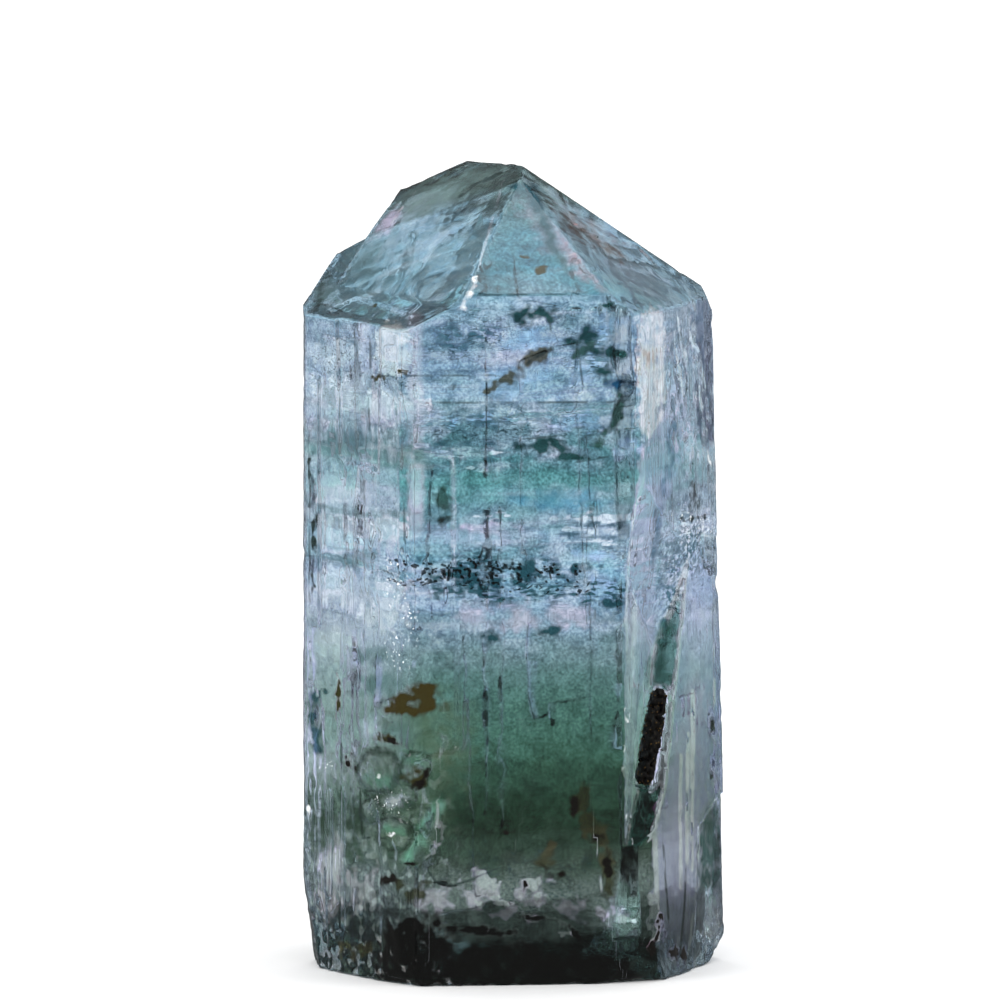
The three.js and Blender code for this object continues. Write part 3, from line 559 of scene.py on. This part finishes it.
apatite = Finish("blue_green_apatite")
place = apatite.vector("MULTIPLY", apatite.node("TexCoord").outputs["Object"], (1 / MM,) * 3)
left_share, right_share, top_share, front_top_share = apatite.stored("growth_faces")
riser_share, floor_share, bubbly_share, crumb = apatite.stored("channel_faces")
parting, bite, *_ = apatite.stored("fields")
large_cloud, layered, milky_cloud, teal_cloud = apatite.stored("clouds")
crack_lines, highlight_lines, dark_lines, _ = apatite.stored("hairlines")
ragged = apatite.cloud(place, 0.28, 1)
grain = apatite.cloud(place, 0.07, 1)
films = apatite.cloud(place, 0.13, 1, (2.2, 1, 0.7))
# Growth bands lie square to the length, and wander a little.
height = apatite.sum("MULTIPLY_ADD", large_cloud, 0.3, apatite.node("SeparateXYZ", place).outputs[2])
height = apatite.sum("MULTIPLY_ADD", layered, 0.25, height)
height = apatite.sum("MULTIPLY_ADD", ragged, 0.3, height)
height = apatite.sum("SUBTRACT", height, 0.15)

TOP = 20
# The front and left sets turn near black below about 1.1 mm: painted shade and dark reflection of the mount
# at the foot.
front_bands = apatite.bands(height, TOP, [
    (17.1, (150, 184, 200)), (16.7, (150, 184, 200)), (16.3, (112, 140, 164)), (15.5, (132, 162, 192)),
    (14.7, (136, 166, 194)), (14.45, (122, 158, 172)), (14.1, (176, 204, 226)), (13.8, (106, 142, 156)),
    (13.0, (86, 120, 140)), (12.6, (80, 134, 138)), (12.1, (82, 142, 146)), (11.6, (102, 150, 162)),
    (11.2, (146, 168, 194)), (10.8, (116, 144, 160)), (10.3, (114, 166, 188)), (9.85, (114, 158, 180)),
    (9.6, (124, 158, 190)), (8.9, (120, 150, 176)), (8.4, (120, 142, 154)), (7.8, (98, 128, 132)),
    (7.1, (74, 110, 106)), (5.9, (60, 98, 86)), (4.6, (34, 60, 46)), (3.3, (24, 42, 30)),
    (2.95, (48, 62, 52)), (2.5, (84, 96, 92)), (2.0, (84, 98, 94)), (1.5, (92, 106, 102)),
    (1.1, (8, 16, 13)), (0.4, (4, 9, 7)),
])
# The left and right sets are paler and more lavender than the front: partly the crystal's own colour, partly
# a painted sheen of the light these faces catch.
left_bands = apatite.bands(height, TOP, [
    (16.4, (150, 164, 182)), (15.6, (168, 178, 198)), (14.3, (212, 212, 232)), (13.75, (204, 204, 222)),
    (13.5, (190, 194, 202)), (12.9, (190, 198, 208)), (12.5, (198, 202, 220)), (11.8, (186, 196, 212)),
    (11.5, (132, 156, 162)), (11.2, (216, 218, 238)), (10.6, (212, 216, 236)), (10.3, (156, 170, 182)),
    (9.8, (166, 172, 194)), (8.3, (212, 214, 236)), (7.3, (198, 198, 212)), (6.3, (184, 188, 196)),
    (5.3, (220, 232, 244)), (4.3, (134, 154, 156)), (3.0, (84, 106, 104)), (2.1, (102, 110, 120)),
    (1.5, (74, 90, 98)), (1.1, (26, 36, 38)), (0.4, (14, 24, 24)),
])
right_bands = apatite.bands(height, TOP, [
    (16.6, (136, 144, 156)), (15.4, (150, 152, 170)), (14.0, (152, 154, 174)), (13.0, (168, 172, 190)),
    (12.2, (130, 142, 156)), (11.5, (124, 140, 154)), (10.3, (162, 176, 198)), (8.8, (164, 178, 210)),
    (6.8, (150, 160, 216)), (5.5, (178, 180, 238)), (4.3, (194, 192, 240)), (3.0, (200, 194, 240)),
    (1.8, (192, 194, 230)), (0.8, (120, 132, 156)),
])
riser_bands = apatite.bands(height, TOP, [
    (12.0, (158, 166, 190)), (10.4, (172, 186, 210)), (8.4, (182, 198, 222)), (6.8, (220, 236, 246)),
    (4.6, (222, 240, 238)), (3.0, (96, 116, 114)),
])
floor_bands = apatite.bands(height, TOP, [
    (10.6, (140, 170, 186)), (9.4, (134, 170, 178)), (8.5, (112, 184, 186)), (7.0, (56, 98, 86)),
    (5.4, (34, 68, 56)), (3.6, (12, 42, 32)), (1.8, (14, 42, 34)),
])
top_bands = apatite.bands(height, TOP, [
    (19.9, (136, 160, 156)), (19.2, (136, 164, 156)), (18.6, (154, 194, 208)), (17.6, (168, 214, 238)),
    (16.4, (164, 200, 222)),
])
front_top_bands = apatite.bands(height, TOP, [
    (19.6, (38, 76, 68)), (18.9, (46, 90, 92)), (17.6, (34, 102, 122)), (16.9, (94, 134, 148)),
    (16.4, (120, 154, 170)),
])
colour = apatite.mixed(left_share, front_bands, left_bands)
colour = apatite.mixed(right_share, colour, right_bands)
colour = apatite.mixed(riser_share, colour, riser_bands)
colour = apatite.mixed(floor_share, colour, floor_bands)
colour = apatite.mixed(top_share, colour, top_bands)
colour = apatite.mixed(front_top_share, colour, front_top_bands)
body = colour


def laid(under, tone, share, *masks):
    """A tone over a colour, as strong as the share and where all the masks are."""
    for mask in masks:
        share = apatite.sum("MULTIPLY", mask, share)
    return apatite.mixed(share, under, shade(*tone))


# Soft clouds, grains of milk and shadow, and thin level partings. They are strongest above the green part,
# but for one clear band. The right side has pale chips, and the dull part low on the left is crumbly.
CLEAR_BAND_HEIGHT = 11.9
above = apatite.sum("MULTIPLY", apatite.rise(height, 7.6, 9.2), apatite.sum("SUBTRACT", 1, top_share))
from_clear_band = apatite.sum("ABSOLUTE", apatite.sum("SUBTRACT", height, CLEAR_BAND_HEIGHT))
above = apatite.sum("MULTIPLY", above, apatite.between(apatite.rise(from_clear_band, 0.3, 1.0), 0.3, 1))
colour = laid(colour, (180, 192, 218), 0.4, apatite.rise(milky_cloud, 0.0, 0.5), above)
colour = laid(colour, (58, 110, 118), 0.3, apatite.rise(teal_cloud, 0.0, 0.5), above)
speckled = apatite.between(above, 0.3, 0.5)
mottled = apatite.between(above, 0.22, 0.4)
for texture, weight in (
    (apatite.rise(grain, 0.3, 0.7), speckled),
    (apatite.rise(ragged, 0.32, 0.68), mottled),
):
    grey = apatite.node("CombineColor", texture, texture, texture).outputs[0]
    colour = apatite.mixed(weight, colour, grey, "SOFT_LIGHT")
colour = laid(colour, (192, 206, 230), 0.28, apatite.rise(parting, 0.15, 0.5), above)
colour = laid(colour, (56, 88, 108), 0.35, apatite.rise(parting, -0.2, -0.5), above)
colour = laid(colour, (214, 214, 232), 0.25, right_share, apatite.rise(bite, 0.1, 0.5))
colour = laid(colour, (176, 196, 194), 0.4, bubbly_share, apatite.rise(crumb, 0.1, 0.4))
colour = laid(colour, (50, 66, 58), 0.45, bubbly_share, apatite.rise(crumb, -0.1, -0.4))

textures = {
    "films": apatite.rise(films, 0.47, 0.58),
    "grain": apatite.rise(grain, 0.65, 0.7),
    "threads": apatite.rise(apatite.sum("ABSOLUTE", apatite.sum("SUBTRACT", films, 0.5)), 0.03, 0.008),
}
wander = apatite.sum("SUBTRACT", ragged, 0.5)
wander = apatite.node("CombineXYZ", wander, wander, wander).outputs[0]
solid_share = 0.0
for i in range(0, len(patches), 3):
    three = patches[i:i + 3]
    wandering = [-share * ragged_by / (2 * soft) for _, share, _, ragged_by, soft, *_ in three]
    wandering += [0] * (3 - len(three))
    kept = apatite.node("Attribute", attribute_name=f"patches_{i // 3}").outputs["Vector"]
    masks = apatite.node("SeparateXYZ", apatite.vector("MULTIPLY_ADD", wander, wandering, kept)).outputs
    for mask, (tone, _, _, _, _, texture, solid) in zip(masks, three):
        if texture:
            mask = apatite.sum("MULTIPLY", mask, textures[texture])
        colour = apatite.mixed(mask, colour, shade(*tone))
        if solid:
            solid_share = apatite.sum("MAXIMUM", solid_share, apatite.sum("MULTIPLY", mask, solid))
whole = apatite.rise(bite, -0.35, 0.1)
# Dark cracks, dark lines that are partly painted outline shade, and painted highlight lines, laid over the
# colour.
for from_line, half_wide, share, tone in (
    (crack_lines, 0.045, 0.75, (24, 38, 38)),
    (dark_lines, 0.05, 0.6, (60, 66, 84)),
    (highlight_lines, 0.045, 0.75, (224, 230, 242)),
):
    line = apatite.rise(apatite.sum("ABSOLUTE", from_line), half_wide, 0.01)
    colour = laid(colour, tone, share, line, whole)

# Light takes half of its tint where it enters and half where it leaves. A mark lies on one side only, so
# half of its tint is doubled.
doubled = apatite.vector("DIVIDE", apatite.vector("MULTIPLY", colour, colour), body)
doubled = apatite.vector("MINIMUM", doubled, (1, 1, 1))
doubled = apatite.mixed(0.5, colour, doubled)
REFRACTION = 1.634
ABSORPTION = 40
SMOOTH, ETCHED = 0.03, 0.14  # how rough the surface is
CLEAR, CLOUDED = 0.96, 0.05  # how much of the light passes
skin = apatite.node("BsdfPrincipled")
feed(skin.inputs["Base Color"], apatite.mixed(solid_share, doubled, colour))
feed(skin.inputs["Roughness"], apatite.between(apatite.rise(ragged, 0.4, 0.65), SMOOTH, ETCHED))
feed(skin.inputs["Transmission Weight"], apatite.between(solid_share, CLEAR, CLOUDED))
skin.inputs["IOR"].default_value = REFRACTION
inside = apatite.node("VolumeAbsorption", shade(184, 214, 214), ABSORPTION)
ends = apatite.node("OutputMaterial")
feed(ends.inputs["Surface"], skin.outputs[0])
feed(ends.inputs["Volume"], inside.outputs[0])

crystal.data.materials.append(apatite.material)
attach(crystal, "root")
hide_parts("apatite_crystal")

# ---------------------------------------------------------------- the flecks of the healed break
# Once during its growth the crystal cracked across and healed. The healed break is a level sheet of small
# dark scales of mineral shut inside, thickest near the front.


class Scatter:
    """A geometry tree that strews small ragged scales over a mesh, sizes in mm."""

    def __init__(self):
        self.tree = bpy.data.node_groups.new("strewn_scales", "GeometryNodeTree")
        for label, kind in (
            ("Surface", "Geometry"), ("Density", "Float"), ("Cluster Size", "Float"), ("Depth", "Vector"),
            ("Scale Size", "Vector"), ("Tilt", "Float"), ("Seed", "Int"), ("Finish", "Material"),
        ):
            self.tree.interface.new_socket(label, in_out="INPUT", socket_type=f"NodeSocket{kind}")
        self.tree.interface.new_socket("Scales", in_out="OUTPUT", socket_type="NodeSocketGeometry")
        given = self.tree.nodes.new("NodeGroupInput").outputs
        where = self.node("GeometryNodeInputPosition").outputs[0]
        clusters = self.node("ShaderNodeTexNoise")
        grouped = self.node("ShaderNodeVectorMath", operation="DIVIDE")
        feed(grouped.inputs[0], where)
        feed(grouped.inputs[1], given["Cluster Size"])
        feed(clusters.inputs["Vector"], grouped.outputs[0])
        clusters.inputs["Scale"].default_value = 1
        crowd = self.node("ShaderNodeMapRange")
        for socket, value in zip(crowd.inputs, (clusters.outputs[0], 0.42, 0.6, 0)):
            feed(socket, value)
        feed(crowd.inputs[4], given["Density"])
        strewn = self.node("GeometryNodeDistributePointsOnFaces")
        feed(strewn.inputs["Mesh"], given["Surface"])
        feed(strewn.inputs["Density"], crowd.outputs[0])
        feed(strewn.inputs["Seed"], given["Seed"])
        minus = self.node("ShaderNodeVectorMath", operation="SCALE")
        feed(minus.inputs[0], given["Depth"])
        minus.inputs["Scale"].default_value = -1
        shifted = self.node("GeometryNodeSetPosition")
        feed(shifted.inputs["Geometry"], strewn.outputs["Points"])
        feed(shifted.inputs["Offset"], self.random(minus.outputs[0], given["Depth"], given["Seed"]))
        scale = self.node("GeometryNodeMeshIcoSphere")
        scale.inputs["Radius"].default_value = 1
        scale.inputs["Subdivisions"].default_value = 1
        lowest = self.node("ShaderNodeVectorMath", operation="SCALE")
        feed(lowest.inputs[0], given["Scale Size"])
        lowest.inputs["Scale"].default_value = 0.3
        turn = self.node("FunctionNodeRotateRotation")
        feed(turn.inputs["Rotation"], strewn.outputs["Rotation"])
        back = self.node("ShaderNodeMath", operation="MULTIPLY")
        feed(back.inputs[0], given["Tilt"])
        back.inputs[1].default_value = -1
        low, high = (self.node("ShaderNodeCombineXYZ") for _ in range(2))
        for end, tilt in ((low, back.outputs[0]), (high, given["Tilt"])):
            feed(end.inputs[0], tilt)
            feed(end.inputs[1], tilt)
            end.inputs[2].default_value = math.pi * (1 if end == high else -1)
        feed(turn.inputs["Rotate By"], self.random(low.outputs[0], high.outputs[0], given["Seed"]))
        placed = self.node("GeometryNodeInstanceOnPoints")
        feed(placed.inputs["Points"], shifted.outputs[0])
        feed(placed.inputs["Instance"], scale.outputs["Mesh"])
        feed(placed.inputs["Rotation"], turn.outputs[0])
        feed(placed.inputs["Scale"], self.random(lowest.outputs[0], given["Scale Size"], given["Seed"]))
        real = self.node("GeometryNodeRealizeInstances")
        feed(real.inputs[0], placed.outputs[0])
        painted = self.node("GeometryNodeSetMaterial")
        feed(painted.inputs["Geometry"], real.outputs[0])
        feed(painted.inputs["Material"], given["Finish"])
        feed(self.tree.nodes.new("NodeGroupOutput").inputs[0], painted.outputs[0])

    def node(self, kind, **settings):
        made = self.tree.nodes.new(kind)
        for name, value in settings.items():
            setattr(made, name, value)
        return made

    def random(self, low, high, seed):
        """A vector between low and high, another one for each scale."""
        made = self.node("FunctionNodeRandomValue", data_type="FLOAT_VECTOR")
        feed(made.inputs[0], low)
        feed(made.inputs[1], high)
        feed(made.inputs["Seed"], seed)
        return made.outputs[0]

    def over(self, name, mesh, **values):
        """The scales on a mesh as a plain piece in metres."""
        piece = bpy.data.objects.new(name + "_surface", mesh)
        bpy.context.scene.collection.objects.link(piece)
        strewing = piece.modifiers.new("strewn", "NODES")
        strewing.node_group = self.tree
        for socket in self.tree.interface.items_tree:
            if socket.in_out == "INPUT" and socket.name.replace(" ", "_").lower() in values:
                strewing[socket.identifier] = values[socket.name.replace(" ", "_").lower()]
        made = made_plain(name, piece)
        made.data.transform(Matrix.Scale(MM, 4))
        made.data.update()
        return made


def plain_dark(name, tone, roughness):
    """A dark mineral whose tone is uneven, down to a third of the one given."""
    finish = Finish(name)
    place = finish.vector("MULTIPLY", finish.node("TexCoord").outputs["Object"], (1 / MM,) * 3)
    uneven = finish.cloud(place, 0.08, 2)
    skin = finish.node("BsdfPrincipled")
    feed(skin.inputs["Base Color"], finish.mixed(uneven, shade(*(c // 3 for c in tone)), shade(*tone)))
    skin.inputs["Roughness"].default_value = roughness
    feed(finish.node("OutputMaterial").inputs[0], skin.outputs[0])
    return finish.material


BREAK_HEIGHT, BREAK_SLOPE = 10.05, -0.05
sheet = bmesh.new()
rim = [(-2.5, -3.9), (1.6, -3.9), (1.7, -3.0), (0.8, -1.8), (-2.8, -1.8), (-3.2, -2.9)]
sheet.faces.new([sheet.verts.new((a, b, BREAK_HEIGHT + BREAK_SLOPE * a)) for a, b in rim])
bmesh.ops.triangulate(sheet, faces=sheet.faces)
sheet_mesh = bpy.data.meshes.new("healed_break")
sheet.to_mesh(sheet_mesh)
sheet.free()
scatter = Scatter()
flecks = scatter.over(
    "healed_break_flecks", sheet_mesh, density=38.0, cluster_size=0.8, depth=(0.02, 0.02, 0.34),
    scale_size=(0.1, 0.06, 0.05), tilt=0.8, seed=3, finish=plain_dark("fleck_mineral", (20, 56, 62), 0.4),
)
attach(flecks, "root")

# ---------------------------------------------------------------- the dark grain
# A stubby rod of a black mineral that the crystal grew round, held in its socket in the channel. Its
# broken surface is rough and splintery, with brown and gold-brown scales on it.

grain_mesh = joined_copy("dark_mineral_grain")
rod = evenly_meshed("dark_mineral_rod", grain_mesh.copy(), 6, 0.9)
points = points_of(rod.data)
splinters = rough_field(points, (0.06, 0.06, 0.5), 21)
chips = rough_field(points, (0.13, 0.13, 0.13), 22)
points += normals_of(rod.data) * (0.03 * splinters - 0.12 * ramp(chips, 0.0, 0.5) - 0.02)[:, None]
grain_box = [np.array(corner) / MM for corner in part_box("dark_mineral_grain")]
points = np.clip(points, *grain_box)
rod.data.vertices.foreach_set("co", points.ravel())
rod.data.transform(Matrix.Scale(MM, 4))
rod.data.update()

black_ore = Finish("black_ore")
place = black_ore.vector("MULTIPLY", black_ore.node("TexCoord").outputs["Object"], (1 / MM,) * 3)
scales = black_ore.cloud(place, 0.05, 2, (1, 1, 2))
rusty = black_ore.rise(black_ore.cloud(place, 0.2, 2), 0.52, 0.68)
colour = black_ore.mixed(black_ore.rise(scales, 0.55, 0.68), shade(6, 6, 6), shade(38, 31, 16))
colour = black_ore.mixed(black_ore.sum("MULTIPLY", rusty, 0.35), colour, shade(36, 28, 12))
skin = black_ore.node("BsdfPrincipled")
feed(skin.inputs["Base Color"], colour)
feed(skin.inputs["Roughness"], black_ore.between(scales, 0.75, 0.35))
bump = black_ore.node("Bump", 0.5, 0.00003)
feed(bump.inputs["Height"], scales)
feed(skin.inputs["Normal"], bump.outputs[0])
feed(black_ore.node("OutputMaterial").inputs[0], skin.outputs[0])
rod.data.materials.append(black_ore.material)
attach(rod, "root")
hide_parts("dark_mineral_grain")

scales = scatter.over(
    "dark_mineral_scales", grain_mesh, density=110.0, cluster_size=0.3, depth=(0.01, 0.01, 0.01),
    scale_size=(0.035, 0.022, 0.01), tilt=0.5, seed=8, finish=plain_dark("scale_bronze", (120, 92, 44), 0.3),
)
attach(scales, "root")

# ---------------------------------------------------------------- the studio
# A pale floor under a white sky, two soft boxes, and a long lens that looks a little down on the front.

FLOOR_RADIUS = 0.12
floor_shape = bmesh.new()
bmesh.ops.create_circle(floor_shape, cap_ends=True, segments=96, radius=FLOOR_RADIUS)
floor_mesh = bpy.data.meshes.new("pale_floor")
floor_shape.to_mesh(floor_mesh)
floor_shape.free()
floor = bpy.data.objects.new("pale_floor", floor_mesh)
bpy.context.scene.collection.objects.link(floor)
paper = Finish("pale_paper")
sheet = paper.node("BsdfPrincipled", (0.93, 0.93, 0.93, 1))
sheet.inputs["Roughness"].default_value = 0.9
feed(paper.node("OutputMaterial").inputs[0], sheet.outputs[0])
floor_mesh.materials.append(paper.material)
floor.visible_glossy = False

SKY = 1.25
SKY_IN_REFLECTIONS = 0.12
sky = bpy.data.worlds.new("soft_sky")
sky.use_nodes = True
sky_tree = sky.node_tree
sky_tree.nodes.clear()
ray = sky_tree.nodes.new("ShaderNodeLightPath")
mirrored = sky_tree.nodes.new("ShaderNodeMath")
mirrored.operation = "SUBTRACT"
mirrored.use_clamp = True
strength = sky_tree.nodes.new("ShaderNodeMapRange")
light = sky_tree.nodes.new("ShaderNodeBackground")
world_end = sky_tree.nodes.new("ShaderNodeOutputWorld")
feed(mirrored.inputs[0], ray.outputs["Is Glossy Ray"])
feed(mirrored.inputs[1], ray.outputs["Is Transmission Ray"])
feed(strength.inputs[0], mirrored.outputs[0])
feed(strength.inputs[3], SKY)
feed(strength.inputs[4], SKY_IN_REFLECTIONS)
feed(light.inputs[0], (1, 1, 1, 1))
feed(light.inputs[1], strength.outputs[0])
feed(world_end.inputs[0], light.outputs[0])
bpy.context.scene.world = sky


def soft_box(name, size, towards, distance, brightness):
    """A square light that faces the crystal's middle; brightness is what it shows against white."""
    lamp = bpy.data.lights.new(name, "AREA")
    lamp.size = size
    lamp.energy = brightness * math.pi * size**2
    box = bpy.data.objects.new(name, lamp)
    aim = Vector(towards).normalized()
    box.location = Vector((0, 0, 0.01)) + aim * distance
    box.rotation_euler = aim.to_track_quat("Z", "Y").to_euler()
    bpy.context.scene.collection.objects.link(box)


soft_box("left_box", 0.08, (-1, -0.6, 0.7), 0.16, 2.5)
soft_box("top_box", 0.12, (0.1, 0.2, 1), 0.2, 1.5)
soft_box("right_box", 0.06, (1, -0.5, 0.9), 0.16, 2.0)

LENS_DISTANCE = 0.6
VIEW_WIDTH = 24.893 * MM
VIEW_TURN = math.radians(5.6)
VIEW_TILT = math.radians(7.5)
aim = Vector((math.cos(VIEW_TURN), -math.sin(VIEW_TURN), 0)) * -0.26 * MM + Vector((0, 0, 11.432 * MM))
behind = Euler((-VIEW_TILT, 0, -VIEW_TURN)).to_matrix() @ Vector((0, -1, 0))
camera_data = bpy.data.cameras.new("camera")
camera_data.sensor_width = 36
camera_data.lens = camera_data.sensor_width * LENS_DISTANCE / VIEW_WIDTH
camera_data.clip_start, camera_data.clip_end = 0.01, 5
camera = bpy.data.objects.new("camera", camera_data)
camera.location = aim + behind * LENS_DISTANCE
camera.rotation_euler = behind.to_track_quat("Z", "Y").to_euler()
bpy.context.scene.collection.objects.link(camera)
bpy.context.scene.camera = camera
bpy.context.scene.view_settings.view_transform = "Standard"
bpy.context.scene.cycles.max_bounces = 7
